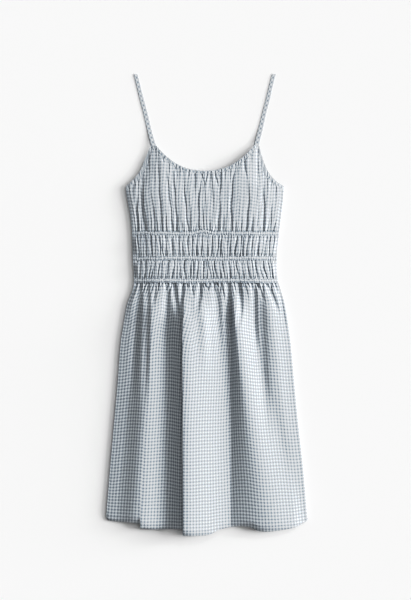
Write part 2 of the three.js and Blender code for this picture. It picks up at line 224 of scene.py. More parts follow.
def gingham_group():
    tree, entry, leave = new_group(
        "woven gingham",
        "ShaderNodeTree",
        [
            ("Cloth place", "Vector", None),
            ("Repeat", "Float", CHECK),
            ("White thread", "Color", WHITE_THREAD),
            ("Coloured thread", "Color", COLOURED_THREAD),
            ("Thread contrast", "Float", 0.6),
        ],
        [("Colour", "Color"), ("Height", "Float")],
    )

    do = partial(math_node, tree)
    add = partial(add_node, tree)

    # The weave isn't dead straight: both ways of thread drift a little
    place = entry["Cloth place"]
    drift_noise = add("ShaderNodeTexNoise", {"Vector": place, "Scale": DRIFTS_PER_METRE})
    lean = {0: drift_noise.outputs["Color"], 1: (THREAD_DRIFT, THREAD_DRIFT, 0), 2: place}
    drifted = add("ShaderNodeVectorMath", lean, operation="MULTIPLY_ADD").outputs[0]
    axes = add("ShaderNodeSeparateXYZ", {0: drifted}).outputs

    stripes = []
    threads = []
    for axis in ("X", "Y"):
        repeats = do("DIVIDE", axes[axis], entry["Repeat"])
        part = do("FRACT", repeats)
        from_middle = do("ABSOLUTE", do("SUBTRACT", part, 0.5))
        edge = do("SUBTRACT", 0.25, from_middle)
        stripes.append(do("MULTIPLY_ADD", edge, STRIPE_KEENNESS, 0.5, clamp=True))
        threads.append(do("MULTIPLY", repeats, THREADS_PER_CHECK))
    warp_stripe, weft_stripe = stripes

    # Which thread is on top changes at every crossing
    numbers = [do("FLOOR", thread) for thread in threads]
    warp_up = do("PINGPONG", do("ADD", *numbers), 1)
    half = do("MULTIPLY", do("SUBTRACT", warp_up, 0.5), entry["Thread contrast"])
    share = do("ADD", half, 0.5)
    spread = do("SUBTRACT", warp_stripe, weft_stripe)
    coloured = do("MULTIPLY_ADD", spread, share, weft_stripe, clamp=True)

    # Uneven yarn: long faint streaks along both ways of thread
    streaks = []
    for scale in ((STREAK_LENGTH, 1, 1), (1, STREAK_LENGTH, 1)):
        drawn = add("ShaderNodeVectorMath", {0: place, 1: scale}, operation="MULTIPLY").outputs[0]
        streaks.append(noise(tree, drawn, STREAKS_PER_METRE))
    streak = do("SUBTRACT", do("ADD", *streaks), 1)
    uneven = do("MULTIPLY_ADD", streak, STREAK, coloured, clamp=True)
    colour = mix_colour(tree, uneven, entry["White thread"], entry["Coloured thread"])
    tree.links.new(colour, leave["Colour"])

    # Each thread is round and dips under the next
    turns = [do("MULTIPLY", thread, math.pi) for thread in threads]
    rounds = [do("ABSOLUTE", do("SINE", turn)) for turn in turns]
    side = do("SUBTRACT", *rounds)
    tree.links.new(do("MULTIPLY_ADD", side, warp_up, rounds[1]), leave["Height"])
    return tree


GINGHAM = gingham_group()
print("gingham group has", len(GINGHAM.nodes), "nodes")

# %% [markdown]
# Cotton reflects softly and catches a little light at a glancing angle. The same group is used for every
# piece, and each material says only how crumpled it is and how much paler its coloured thread is painted.
# The gathered pieces and the straps are painted a little paler than the skirt: painted light, not wear.

# %% Cloth materials
CRUMPLES_PER_METRE = 90
TWISTS_PER_METRE = 2500
THREAD_HEIGHT = 0.06 * MM
CRUMPLE_HEIGHT = 1.2 * MM
COTTON = {"Roughness": 0.88, "Specular IOR Level": 0.25, "Sheen Weight": 0.12, "Sheen Roughness": 0.5}


def cloth_material(name, crumple, painted_paleness=0.0):
    """Gingham with its own crumple. Its painted paleness moves its coloured thread nearer to the white one,
    as painted light.
    """
    material = new_material(name, COTTON)
    tree = material.node_tree
    place = add_node(tree, "ShaderNodeUVMap", {}, uv_map="cloth").outputs["UV"]
    weave = add_node(tree, "ShaderNodeGroup", {}, node_tree=GINGHAM)
    # Painted light: the coloured thread is painted paler here, towards the white one.
    painted_pale_thread = [d + painted_paleness * (w - d) for d, w in zip(COLOURED_THREAD, WHITE_THREAD)]
    feed(tree, weave, {"Cloth place": place, "Coloured thread": painted_pale_thread})

    threads = {"Strength": 0.25, "Distance": THREAD_HEIGHT, "Height": weave.outputs["Height"]}
    fine = add_node(tree, "ShaderNodeBump", threads).outputs["Normal"]
    surface = tree.nodes.new("ShaderNodeTexCoord").outputs["Object"]
    uneven = noise(tree, surface, CRUMPLES_PER_METRE, 3)
    crumples = {"Strength": crumple, "Distance": CRUMPLE_HEIGHT, "Height": uneven, "Normal": fine}
    broad = add_node(tree, "ShaderNodeBump", crumples).outputs["Normal"]
    feed(tree, tree.nodes["Principled BSDF"], {"Base Color": weave.outputs["Colour"], "Normal": broad})
    return material


PANEL_CLOTH = cloth_material("gingham panel", 0.25)
# The skirt keeps the full check. The other pieces are painted paler, which is painted light and not washing
# or wear.
GATHERED_CLOTH = cloth_material("gathered gingham", 0.35, painted_paleness=0.08)
CASING_CLOTH = cloth_material("gingham casing", 0.55, painted_paleness=0.02)
EDGE_CLOTH = cloth_material("gingham edge casing", 0.6)
STRAP_CLOTH = cloth_material("gingham strap", 0.2, painted_paleness=0.06)

THREAD = new_material("sewing thread", {"Roughness": 0.6, "Sheen Weight": 0.2})
thread_tree = THREAD.node_tree
thread_place = thread_tree.nodes.new("ShaderNodeTexCoord").outputs["Object"]
twist = noise(thread_tree, thread_place, TWISTS_PER_METRE)
thread_colour = mix_colour(thread_tree, twist, (0.62, 0.67, 0.72, 1), (0.86, 0.88, 0.9, 1))
feed(thread_tree, thread_tree.nodes["Principled BSDF"], {"Base Color": thread_colour})
print("materials", [material.name for material in bpy.data.materials])

# %% [markdown]
# The outline is one table from the hem up to the straps: where the left and right edges are, how high the
# front stands over the table and how it rounds down at the sides. A smooth curve is put through each
# column, the same way as in the rigid part, so both have one form.

# %% Outline of the dress
WAIST_LEVEL = 89
SEAM_HEIGHT = 5
BACK_CURL = 15
OUTLINE = table(
    "y left right lift round edge",
    (-420, -195.5, 195.5, 9, 26, 5),
    (-325, -188, 188, 9, 28, 5),
    (-232, -180, 178, 9.5, 30, 5),
    (-139, -172, 169, 10, 32, 5),
    (-77, -167.5, 163.5, 10.5, 34, 5),
    (-30, -160.5, 157, 11, 36, 5),
    (1, -154.5, 152, 12, 40, 5),
    (32, -143, 142, 13, 45, 5),
    (46, -141, 138, 13, 48, 5),
    (89, -143, 135.5, 13, 55, 5),
    (137, -144.5, 140, 13.5, 62, 5),
    (170, -147.5, 144, 14.5, 72, 5),
    (228.5, -156.5, 149.5, 13.5, 70, 5),
    (241, -143, 131.5, 12.5, 60, 4.4),
    (257, -130, 119, 11, 50, 4),
    (280, -120, 109, 9, 38, 3.7),
    (308, -108.5, 101, 7, 28, 3.5),
)


def curve(rows, source, target):
    """A smooth curve through two named columns of a table, which never swings past its rows."""
    at = np.array([row[source] for row in rows], float)
    value = np.array([row[target] for row in rows], float)
    slope = np.diff(value) / np.diff(at)
    same_way = slope[:-1] * slope[1:] > 0
    total = np.where(same_way, slope[:-1] + slope[1:], 1)
    inner = np.where(same_way, 2 * slope[:-1] * slope[1:] / total, 0)
    tangent = np.concatenate([slope[:1], inner, slope[-1:]])

    def read(place):
        place = np.clip(place, at[0], at[-1])
        i = np.clip(np.searchsorted(at, place, side="right") - 1, 0, len(at) - 2)
        step = at[i + 1] - at[i]
        t = (place - at[i]) / step
        bend0 = tangent[i] * step
        bend1 = tangent[i + 1] * step
        rise = value[i + 1] - value[i]
        square = 3 * rise - 2 * bend0 - bend1
        cube = bend0 + bend1 - 2 * rise
        return value[i] + t * (bend0 + t * (square + t * cube))

    return read


left_edge = curve(OUTLINE, "y", "left")
right_edge = curve(OUTLINE, "y", "right")
lift = curve(OUTLINE, "y", "lift")
roundness = curve(OUTLINE, "y", "round")
edge_height = curve(OUTLINE, "y", "edge")


def lerp(low, high, part):
    return low + (high - low) * part


def across(u, y):
    return lerp(left_edge(y), right_edge(y), u)


def inset(x, y):
    return np.minimum(x - left_edge(y), right_edge(y) - x)


def quarter_round(part):
    return np.sqrt(1 - (1 - np.clip(part, 0, 1)) ** 2)


def smooth(value, low, high):
    t = np.clip((value - low) / (high - low), 0, 1)
    return t * t * (3 - 2 * t)


def front_height(x, y):
    """Height of the front's outer face. It slopes down evenly towards the sides."""
    edge = edge_height(y)
    return edge + (lift(y) - edge) * smooth(inset(x, y) / roundness(y), -0.3, 1)


def back_height(x, y):
    return SEAM_HEIGHT * (1 - quarter_round(inset(x, y) / BACK_CURL))


SIDE_FADE = 9


def side_fade(x, y):
    return smooth(inset(x, y), 0, SIDE_FADE)


print("waist is", float(right_edge(WAIST_LEVEL) - left_edge(WAIST_LEVEL)), "mm across as it lies")

# %% [markdown]
# Gathers are grooves pressed into a rounded surface. Each has its own place, width, depth and length, and
# leans its own way, because a machine that gathers cloth spreads it unevenly. A fixed seed keeps them the
# same at each run. Deeper creases come from short tables instead, where the photograph shows them.

# %% Grooves, gathers and creases


def bump(offset, run, sharp=1.0):
    """1 on the middle line, 0 from run outwards, and the sharper the narrower."""
    return (0.5 + 0.5 * np.cos(np.pi * np.clip(np.abs(offset) / run, 0, 1))) ** sharp


SKEW = 0.55
WANDER_RUN = 9
CREASE_WANDER_RUN = 8
FADE_FROM = 0.35


def groove(offset, width, sharp=1.0, skew=SKEW):
    """Section of a groove, 1 at its foot. Its right wall is steep and its left one runs out wider."""
    return bump(offset, np.where(offset < 0, width * (1 + skew), width * (1 - skew)), sharp)


def gathers(count, seed, reach, uneven=0.5, depth=(0.45, 1.25)):
    """Places, sizes and lengths of the grooves along one sewn edge, as arrays by name."""
    rng = np.random.default_rng(seed)
    widths = 1 + uneven * rng.uniform(-1, 1, count + 1)
    places = np.cumsum(widths)[:-1] / widths.sum()
    return {
        "place": places,
        "width": 0.5 * (widths[:-1] + widths[1:]) / widths.sum(),
        "depth": rng.uniform(*depth, count),
        "reach": lerp(*reach, rng.uniform(0, 1, count) ** 1.5),
        "lean": rng.uniform(-1, 1, count),
        "phase": rng.uniform(0, 2 * np.pi, count),
    }


def gathered(u, along, marks, depth, wide=0.56, lean=0.004, wander=0.0, sharp=1.4):
    """Depth of all the grooves of one edge at cloth place u and distance along from that edge, in mm."""
    total = 0
    for place, width, part, reach, tilt, phase in zip(*marks.values()):
        middle = place + lean * tilt * along / reach + wander * np.sin(along / WANDER_RUN + phase)
        fade = 1 - smooth(along, FADE_FROM * reach, reach)
        total += part * fade * groove(u - middle, wide * width, sharp)
    return depth * total


def drift(u, seed, size, waves=(4, 9, 17)):
    """Slow wandering of a row of checks up and down, in mm."""
    rng = np.random.default_rng(seed)
    return size * sum(np.sin(2 * np.pi * (n * u + rng.uniform())) / (k + 1) for k, n in enumerate(waves))


def creased(x, y, creases, wander=0.0, sharp=1.6, skew=SKEW):
    """Depth of a table's creases in mm. Each bends from x0 over x1 to x2, and dies out towards y2."""
    total = 0
    for row in creases:
        t = (y - row["y0"]) / (row["y2"] - row["y0"])
        part = np.clip(t, 0, 1)
        first = (1 - part) ** 2 * row["x0"] + part**2 * row["x2"]
        middle = first + part * (1 - part) * (4 * row["x1"] - row["x0"] - row["x2"])
        middle = middle + wander * np.sin(y / CREASE_WANDER_RUN + row["x0"])
        fade = smooth(t, -0.06, 0.04) * (1 - smooth(t, 0.45, 1))
        total += row["depth"] * fade * groove(x - middle, row["width"], sharp, skew)
    return total


# %% [markdown]
# A panel is a grid of points, so it is quick to make and its rows and columns are its weft and warp. Each
# point also carries its place in the flat cloth. Along a row that is the length over the folds, so a steep
# fold shows its checks narrowed, and what a narrow row doesn't show is taken up in its creases, as on the
# real skirt. Solidify then gives the cloth its thickness.

# %% Building one layer of cloth
CLOTH_THICKNESS = 0.45
LEAST_HIDDEN = 0.02


def so_far(steps):
    """Length run at each point of a line, from the length of each step."""
    return np.concatenate([np.zeros((*steps.shape[:-1], 1)), np.cumsum(steps, axis=-1)], axis=-1)


def evened(rows, reach):
    """Each row as the mean of those up to reach rows below and above it."""
    padded = np.pad(rows, ((reach, reach), (0, 0)), mode="edge")
    taken = 2 * reach + 1
    return sum(padded[i:i + len(rows)] for i in range(taken)) / taken


def cloth_places(points, level, even):
    """Place of each point in the flat cloth, in metres: over the folds along a row, and level along it.

    Every row holds as much cloth as the widest one. What a row doesn't show is hidden in its steep parts.
    The threads that run up the cloth bend slowly, so each place is evened out over the rows beside it.
    """
    run = np.diff(points[..., 0], axis=1)
    rise = np.diff(points[..., 2], axis=1)
    steps = np.hypot(run, rise)
    steep = steps * (rise / steps) ** 2 + LEAST_HIDDEN * steps
    missing = steps.sum(axis=1).max() - steps.sum(axis=1)
    steps += steep * (missing / steep.sum(axis=1))[:, None]
    over = so_far(steps)
    u = evened(over - 0.5 * over[:, -1:], even)
    return np.stack([u, np.broadcast_to(level, over.shape)], axis=2) * MM


def grid_faces(rows, columns, flip):
    corner = (np.arange(rows - 1)[:, None] * columns + np.arange(columns - 1)[None, :]).ravel()
    quads = np.stack([corner, corner + 1, corner + columns + 1, corner + columns], axis=1)
    return quads[:, ::-1] if flip else quads


def surface_area(points):
    """Area of a grid of points, in square mm. Cloth hardly stretches, so it is the area of the cut too."""
    diagonals = points[1:, 1:] - points[:-1, :-1], points[1:, :-1] - points[:-1, 1:]
    return float(0.5 * np.linalg.norm(np.cross(*diagonals), axis=2).sum())


def mesh_object(name, points, places, material, underside=False):
    """A grid of points in mm with faces between them. An underside faces down."""
    quads = grid_faces(*points.shape[:2], underside)
    mesh = bpy.data.meshes.new(name)
    mesh.vertices.add(points.size // 3)
    mesh.vertices.foreach_set("co", (points * MM).ravel().astype(np.float32))
    mesh.loops.add(quads.size)
    mesh.loops.foreach_set("vertex_index", quads.ravel().astype(np.int32))
    mesh.polygons.add(len(quads))
    mesh.polygons.foreach_set("loop_start", np.arange(0, quads.size, 4, dtype=np.int32))
    mesh.polygons.foreach_set("use_smooth", np.ones(len(quads), bool))
    mesh.update(calc_edges=True)
    layer = mesh.uv_layers.new(name="cloth")
    layer.data.foreach_set("uv", places.reshape(-1, 2)[quads.ravel()].ravel().astype(np.float32))
    mesh.materials.append(material)
    made = bpy.data.objects.new(name, mesh)
    bpy.context.collection.objects.link(made)
    return made


def thicken(made):
    solidify = made.modifiers.new("thickness", "SOLIDIFY")
    solidify.thickness = CLOTH_THICKNESS * MM
    solidify.offset = -1


def declare(made, node, flat):
    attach(made, BODY)
    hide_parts(node)
    print(made.name, "cut", [round(side, 3) for side in flat], "m,", len(made.data.polygons), "faces")


def panel(node, points, level, material=PANEL_CLOTH, underside=False, even=13):
    """The cloth of one node on a grid of points, rows from low to high y."""
    places = cloth_places(points, level, even)
    made = mesh_object(f"{node}_cloth", points, places, material, underside)
    thicken(made)
    flat = tuple(float(np.ptp(places[..., axis])) for axis in (0, 1))
    declare(made, node, flat)


# %% [markdown]
# The skirt hangs from the lowest casing in dozens of small pleats that die out within a hand's breadth and
# leave a few broad folds down to the hem. Each broad fold is a ridge with its own run on either side, round
# at the foot or keen, where it meets the next one in a sharp valley. Two of them lie over: there the cloth
# doubles back under itself, which darkens one side of a sharp edge.

# %% Skirt: tables
SKIRT_TOP = 41.4
HEM_LEVEL = OUTLINE[0]["y"]
HEM_BEND_START = 50
HEM = table(
    "x y",
    (-195.5, -412),
    (-190, -418),
    (-131, -424),
    (-128, -432.5),
    (-95, -435),
    (-47, -434),
    (-44, -445),
    (-25, -447),
    (0, -446),
    (28, -435),
    (68, -428.5),
    (84, -431),
    (102, -438),
    (114, -439),
    (164, -433),
    (195.5, -419),
)
OPEN = -900
FOLD_GROWTH = 70
FULL_SHIFT = 2.33
FOLDS = table(
    "name waist hem height start end left left_hem right right_hem ease keen_left keen_right",
    ("side", -153, -160, 2.5, 30, -70, 10, 10, 12, 12, 1, 0, 0),
    ("left", -102, -130, 11, 34, OPEN, 28, 46, 48, 70, 1, 0.3, 0),
    ("centre", -44, -39, 20, 36, OPEN, 40, 40, 90, 84, 1, 0, 0.6),
    ("middle", -5, 2, 3.5, 30, -150, 16, 16, 16, 16, 1, 0, 0),
    ("small", 30, 34, 3, 30, -150, 12, 12, 10, 10, 1, 0, 0),
    ("narrow", 50, 54, 2, 34, -50, 8, 8, 8, 8, 1, 0, 0),
    ("right", 50, 124, 13, 34, OPEN, 3, 77, 34, 92, 1.5, 1, 0),
    ("far", 118, 146, 3, 34, -270, 22, 30, 34, 44, 1, 0.3, 0),
)
LAPS = table(
    "name waist hem run over step start full",
    ("centre", -45, -43, 5, 6.5, 9, 20, -60),
    ("left", -112, -129, 6, 2.5, 1.2, -330, -440),
)
SKIRT_CREASES = table(
    "name x0 x1 x2 y0 y2 width depth",
    ("far left", -128, -136, -146, 42, -200, 12, 2.6),
    ("left", -113, -116, -122, 42, -230, 10, 2.6),
    ("inner left", -98, -101, -106, 42, -10, 7, 2),
    ("soft v", -75, -78, -80, 42, -120, 9, 2.6),
    ("v left", -63, -56, -51, 42, -70, 8, 4.5),
    ("v right", -44, -49, -52, 42, -30, 7, 3.6),
    ("middle left", -10, -15, -18, 42, -25, 8, 2.6),
    ("middle", 16, 26, 30, 42, -150, 12, 2.2),
    ("groove left", 42, 46, 50, 42, -90, 7, 4.5),
    ("groove right", 61, 66, 58, 42, -60, 8, 4),
    ("slant", 93, 94, 99, 42, -110, 9, 3.8),
    ("small slant", 100, 106, 114, 42, 0, 6, 2.4),
    ("far slant", 115, 132, 143, 42, -30, 8, 2.8),
    ("soft right", 106, 111, 121, 20, -300, 15, 1.2),
    ("far right", 138, 147, 155, 42, -60, 7, 1.8),
)

hem_edge = curve(HEM, "x", "y")
for rows in (FOLDS, LAPS, SKIRT_CREASES):
    print("skirt:", ", ".join(row["name"] for row in rows))


def down_the_skirt(y):
    return np.clip((SKIRT_TOP - y) / (SKIRT_TOP - HEM_LEVEL), 0, 1)


def hem_drop(u, y):
    """How far the cloth at a level hangs below it, so that the checks bend into the hem's line."""
    drop = hem_edge(across(u, HEM_LEVEL)) - HEM_LEVEL
    return drop * smooth(SKIRT_TOP - y, HEM_BEND_START, SKIRT_TOP - HEM_LEVEL)


def skirt_folds(x, y):
    down = down_the_skirt(y)
    total = 0
    for fold in FOLDS:
        opened = down ** fold["ease"]
        offset = x - lerp(fold["waist"], fold["hem"], opened)
        left_run = lerp(fold["left"], fold["left_hem"], opened)
        right_run = lerp(fold["right"], fold["right_hem"], opened)
        run = np.where(offset < 0, left_run, right_run)
        grown = smooth(fold["start"] - y, 0, FOLD_GROWTH)
        grown = grown * smooth(y, fold["end"], fold["end"] + 2 * FOLD_GROWTH)
        part = np.clip(np.abs(offset) / run, 0, 1)
        keen = np.where(offset < 0, fold["keen_left"], fold["keen_right"])
        side = lerp(0.5 + 0.5 * np.cos(np.pi * part), np.cos(0.5 * np.pi * part), keen)
        total += fold["height"] * grown * side
    return total * smooth(inset(x, y) / roundness(y), 0, 1)


def skirt_laps(x, y):
    """Sideways shift and extra height where a fold lies over its neighbour.

    s * exp(-s * s) is at most 1 / FULL_SHIFT, so a lap's cloth moves as far as its table says.
    """
    down = down_the_skirt(y)
    shift = 0
    rise = 0
    for lap in LAPS:
        grown = smooth(lap["start"] - y, 0, lap["start"] - lap["full"])
        s = (x - lerp(lap["waist"], lap["hem"], down)) / lap["run"]
        shift -= lap["over"] * grown * s * np.exp(-s * s) * FULL_SHIFT
        rise += lap["step"] * grown * 0.5 * (np.tanh(1.3 * s) - np.tanh(s / 5))
    return shift, rise


# %% [markdown]
# The front of the skirt adds up its parts at each point: the slope of the outline, the folds, the creases,
# the small pleats at the seam and the laps. Its rows lie closer near the seam, where the pleats are. A
# cloth simulation would find folds by itself, but not these ones.

# %% Skirt: front
SKIRT_COLUMNS = 330
SKIRT_ROWS = 132
CLOSER_ROWS = 1.2
SKIRT_GATHER_DEPTH = 3.2
SKIRT_RUFFLE_DEPTH = 1.6
SKIRT_PUFF = 1.3
SEAM_RISE = 1.2
LEAST_HEIGHT = 2.4
UNDER_SEAM = 2.0
TUCK = 0.7
HEM_CURL = 0.25
ROW_LENGTH = 0.75

skirt_part = np.linspace(1, 0, SKIRT_ROWS)[:, None] ** CLOSER_ROWS
skirt_levels = lerp(SKIRT_TOP + UNDER_SEAM, HEM_LEVEL, skirt_part)
skirt_u = np.linspace(0, 1, SKIRT_COLUMNS)[None, :]
skirt_marks = gathers(44, seed=3, reach=(8, 44), uneven=0.75, depth=(0.3, 1.3))
ruffle_marks = gathers(84, seed=4, reach=(5, 15), uneven=0.7)


def tucked(distance):
    """How far the edge of a panel is pressed down where it is sewn in, by its distance from the seam."""
    return TUCK * (1 - smooth(distance, -UNDER_SEAM, 2.5))


def skirt_front_points(u, level):
    x = across(u, level)
    below = SKIRT_TOP - level
    height = front_height(x, level) + skirt_folds(x, level)
    height -= creased(x, level, SKIRT_CREASES, sharp=1.1, skew=0.2)
    small = gathered(u, below, skirt_marks, SKIRT_GATHER_DEPTH, wide=0.42, lean=0.022, wander=0.0015)
    small += gathered(u, below, ruffle_marks, SKIRT_RUFFLE_DEPTH, wide=0.55, lean=0.008)
    puffed = SKIRT_PUFF * smooth(below, 0, 12) * (1 - smooth(below, 30, 80))
    height += (puffed + SEAM_RISE * (1 - smooth(below, 5, 40)) - small) * side_fade(x, level)
    height *= 1 - HEM_CURL * (1 - smooth(level - HEM_LEVEL, 0, 12))
    height = np.maximum(height, LEAST_HEIGHT) - tucked(below) * side_fade(x, level)
    shift, rise = skirt_laps(x, level)
    rows = drift(u, 5, 2.2, (2, 5)) * smooth(below, 0, 60) * (1 - smooth(below, 380, 440))
    rows += drift(u, 6, 1.5, (8, 13)) * smooth(below, 0, 40) * (1 - smooth(below, 60, 220))
    return np.stack([x + shift, level + hem_drop(u, level) + rows, height + rise], axis=2)


skirt_rows = skirt_levels + ROW_LENGTH * hem_drop(skirt_u, skirt_levels)
skirt_front = skirt_front_points(skirt_u, skirt_levels)
panel("skirt_front", skirt_front, skirt_rows)

# %% [markdown]
# The back of the skirt lies on the table. It is gathered like the front, but its weight and the front's
# press it nearly flat, so its pleats are low ripples that touch the table along their crests.

# %% Skirt: back
BACK_HEM_INSET = 4
RIPPLE = 1.3


def ripples(u, distance, seed, count=40, reach=(20, 90)):
    """Lift of a back panel off the table, in mm: low pleats that start at the gathered edge."""
    return gathered(u, distance, gathers(count, seed, reach), RIPPLE, wide=0.6)


def back_points(u, level, distance, seed, drop=0.0):
    x = across(u, level)
    lift_off = back_height(x, level) + ripples(u, distance, seed) * side_fade(x, level)
    return np.stack([x, np.broadcast_to(level + drop, x.shape), lift_off], axis=2)


back_levels = np.linspace(HEM_LEVEL + BACK_HEM_INSET, SKIRT_TOP + UNDER_SEAM, 60)[:, None]
back_u = np.linspace(0, 1, 220)[None, :]
skirt_back = back_points(back_u, back_levels, SKIRT_TOP - back_levels, 11, hem_drop(back_u, back_levels))
panel("skirt_back", skirt_back, back_levels, underside=True)

# %% [markdown]
# The two waist bands are the same cloth between the casings. It is drawn up to about half its width, so it
# stands in narrow pleats from one stitched line to the next. They lean, fork and die out unevenly.

# %% Waist bands
CASING_LOW_Y = 46
CASING_MID_Y = WAIST_LEVEL
CASING_TOP_Y = 137.4
CASING_HALF = 4.3
SEAM_GAP = 0.3
PUCKER = {"x": -9, "width": 26, "rise": 3.6, "reach": 16}
BAND_PUFF = 2.4
BAND_RISE = 0.9
BAND_DEPTH = 3.8
BAND_RUFFLE_DEPTH = 1.1
BAND_WIDTH = 290
PLEAT_WANDER = 0.007
PLEAT_WIDTH = 0.3
BANDS = table(
    "name low high count seed slant",
    ("lower", CASING_LOW_Y, CASING_MID_Y, 35, 21, 6),
    ("upper", CASING_MID_Y, CASING_TOP_Y, 32, 22, -1.5),
)


def pulled(x, y):
    """How far the cloth round the top casing is pulled up where the photograph shows it bunched."""
    near = bump(y - CASING_TOP_Y, PUCKER["reach"])
    return PUCKER["rise"] * near * bump(x - PUCKER["x"], PUCKER["width"]) * (1 + 0.3 * np.sin(0.9 * x))


def band_front_points(u, v, low, high, band):
    y = lerp(low, high, v)
    x = across(u, y)
    fade = side_fade(x, y)
    slanted = u - band["slant"] * np.cos(np.pi * u) * (v - 0.5) / BAND_WIDTH
    away = np.sin(np.pi * np.clip(v, 0, 1))
    rng = np.random.default_rng(band["seed"])
    marks = gathers(band["count"], band["seed"] + 50, reach=(1, 1), uneven=0.55, depth=(0.4, 1.2))
    deep = 0
    for place, width, depth in zip(marks["place"], marks["width"], marks["depth"]):
        bend, turn, phase = rng.uniform(-1, 1, 3)
        middle = place + PLEAT_WANDER * (bend * (v - 0.5) + 0.5 * turn * np.sin(5 * v + 3 * phase))
        along = 0.72 + 0.4 * np.sin(4.2 * v + 3 * phase)
        deep += depth * np.clip(along, 0.1, 1.05) * groove(slanted - middle, PLEAT_WIDTH * width)
    ends = gathered(u, y - low, gathers(96, band["seed"] + 1, (5, 15)), BAND_RUFFLE_DEPTH)
    ends += gathered(u, high - y, gathers(96, band["seed"] + 2, (5, 15)), BAND_RUFFLE_DEPTH)
    height = BAND_PUFF * away + BAND_RISE - BAND_DEPTH * deep * lerp(0.75, 1, away) - ends
    edge = np.minimum(y - low, high - y)
    rows = drift(u, band["seed"] + 3, 0.9, (7, 15, 29)) * away
    height = front_height(x, y) + (height - tucked(edge)) * fade
    return np.stack([x, y + rows + pulled(x, y), height], axis=2)


def band_levels(low, high, rows):
    return np.linspace(low - UNDER_SEAM, high + UNDER_SEAM, rows)[:, None]


band_u = np.linspace(0, 1, 560)[None, :]
for band in BANDS:
    low = band["low"] + CASING_HALF + SEAM_GAP
    high = band["high"] - CASING_HALF - SEAM_GAP
    levels = band_levels(low, high, 26)
    points = band_front_points(band_u, (levels - low) / (high - low), low, high, band)
    name = f"waist_{band['name']}"
    panel(f"{name}_front", points, levels, GATHERED_CLOTH, even=10)
    levels = band_levels(low, high, 8)
    points = back_points(back_u, levels, levels * 0 + 4, band["seed"] + 7)
    panel(f"{name}_back", points, levels, underside=True)

# %% [markdown]
# The bodice is one panel, drawn up at the casing below and along the neckline above. Its deeper creases
# run from one to the other in long, slightly bent lines, and short puckers fill the cloth between them at
# both edges. The table lists the creases that show.

# %% Bodice: tables
NECK = {"middle": -3, "half": 95, "low": 259, "rise": 49, "power": 2.4}
EAR_TOP = NECK["low"] + NECK["rise"]
BACK_TOP = 228.4
EDGE_CASING = 7
STRAP_BASE = 8.4
MOST_SLANT = 2.8
BODICE_BOTTOM = CASING_TOP_Y + CASING_HALF + SEAM_GAP
BODICE_CREASES = table(
    "name x0 x1 x2 y0 y2 width depth",
    ("under arm", -131, -134, -133, 140, 232, 5, 5),
    ("left side", -118, -124, -118, 140, 262, 7, 5.5),
    ("below strap", -85, -91, -93, 140, 300, 4.5, 5),
    ("short", -100, -101, -102, 140, 195, 4, 3),
    ("left", -65, -72, -80, 140, 275, 4.5, 3.5),
    ("inner left", -57, -60, -66, 140, 262, 4, 5),
    ("left middle", -35, -41, -46, 140, 268, 4, 5),
    ("middle", -14, -15, -10, 140, 262, 4, 5),
    ("right middle", 22, 25, 25, 140, 215, 4, 3.5),
    ("right", 50, 49, 60, 140, 290, 4.5, 6),
    ("broad", 77, 81, 80, 140, 250, 7, 4),
    ("outer right", 110, 111, 107, 140, 262, 6, 5),
    ("right arm", 125, 125, 127, 140, 205, 4, 2.5),
    ("neck a", -23, -22, -24, 256, 215, 3.5, 3),
    ("neck b", -9, -6, -3, 254, 222, 3, 3),
    ("neck c", 1, -1, -5, 256, 222, 3, 3.5),
    ("neck d", 15, 20, 25, 256, 222, 3, 3.5),
    ("neck e", 29, 27, 25, 256, 205, 3.5, 4),
    ("neck f", -60, -58, -62, 272, 235, 3.5, 2.5),
    ("neck g", 73, 76, 80, 282, 235, 3.5, 2.5),
)
print("bodice:", ", ".join(row["name"] for row in BODICE_CREASES))

armholes = [row for row in OUTLINE if row["y"] > BACK_TOP]
left_armhole = curve(armholes, "left", "y")
right_armhole = curve(armholes[::-1], "right", "y")


def top_edge(x):
    """Height of the front's top edge: up one armhole, round the neckline and down the other armhole."""
    neckline = NECK["low"] + NECK["rise"] * np.abs((x - NECK["middle"]) / NECK["half"]) ** NECK["power"]
    return np.minimum.reduce([left_armhole(x), right_armhole(x), neckline, np.full(np.shape(x), EAR_TOP)])


def edge_depth(x, width):
    """How far a strip of a given width along the top edge reaches below it, measured along y."""
    slant = np.clip(np.abs(top_edge(x + 2) - top_edge(x - 2)) / 4, 0, MOST_SLANT)
    return width * np.hypot(1, slant)


# %% [markdown]
# The front of the bodice reaches up to where the straps start, so its rows begin level and end along the
# neckline and the armholes. A flat grid could be cut out instead, but its edge would be ragged. Low ribs
# fill the cloth between the creases. The back ends straight across.

# %% Bodice: front and back
BODICE_RISE = 1.6
BODICE_DEPTH = 1.6
NECK_DEPTH = 0.88
RUFFLE_DEPTH = 1.1
NECK_RUFFLE_DEPTH = 0.5
CREASE_SHARE = 0.45
SWELL = 1.1
SWELL_LEAN = 0.008
BODICE_MIDDLE = 190
BODICE_HALF = 60
bodice_marks = gathers(29, seed=31, reach=(14, 62))
neck_marks = gathers(32, seed=32, reach=(10, 36))
bodice_ruffles = gathers(84, seed=33, reach=(6, 16))
neck_ruffles = gathers(96, seed=34, reach=(5, 12))
swell_marks = gathers(34, seed=36, reach=(1, 1), uneven=0.6, depth=(0.2, 1))


def swells(u, y):
    """Low, soft ribs that run the whole height of the bodice and lean a little, each its own way."""
    total = 0
    for place, width, part, _, lean, phase in zip(*swell_marks.values()):
        leaning = SWELL_LEAN * lean * (y - BODICE_MIDDLE) / BODICE_HALF
        middle = place + leaning + 0.0015 * np.sin(y / 11 + phase)
        total += part * (0.7 + 0.3 * np.sin(y / 17 + phase)) * groove(u - middle, 0.7 * width)
    return SWELL * total


def bodice_top(column):
    return top_edge(column) - edge_depth(column, EDGE_CASING + SEAM_GAP)


